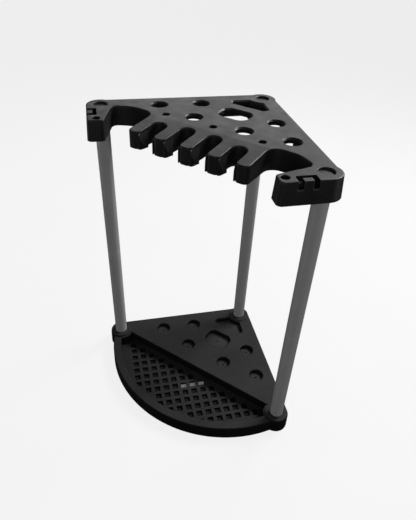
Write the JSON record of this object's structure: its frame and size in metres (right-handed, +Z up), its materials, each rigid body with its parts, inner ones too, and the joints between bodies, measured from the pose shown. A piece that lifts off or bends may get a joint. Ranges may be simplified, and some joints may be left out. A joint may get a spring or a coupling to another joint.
{
  "type": "corner tool rack",
  "caption": "Free-standing corner rack: a pierced, pronged top plate on three round tubes over a base with matching sockets and a waffle-floored tray.",
  "frame": {"origin": "middle of the footprint's bounding rectangle, on the floor", "axes": "+Z up along the legs; +Y towards the back leg, which stands in the corner of the room; X along the open front, which faces -Y"},
  "size_m": [0.5746, 0.4527, 0.712],
  "materials": {
    "rack_plastic": "satin black, fine moulded grain",
    "base_plastic": "satin black, fine moulded grain",
    "tube_grey": "satin mid grey",
    "joiner_plastic": "plain black"
  },
  "bodies": {
    "root": {"top_rack": "rack_plastic", "base_tray": "base_plastic", "lower_tube_back": "tube_grey", "lower_tube_left": "tube_grey", "lower_tube_right": "tube_grey", "upper_tube_back": "tube_grey", "upper_tube_left": "tube_grey", "upper_tube_right": "tube_grey", "tube_joiner_back": "joiner_plastic", "tube_joiner_left": "joiner_plastic", "tube_joiner_right": "joiner_plastic"}
  },
  "joints": []
}
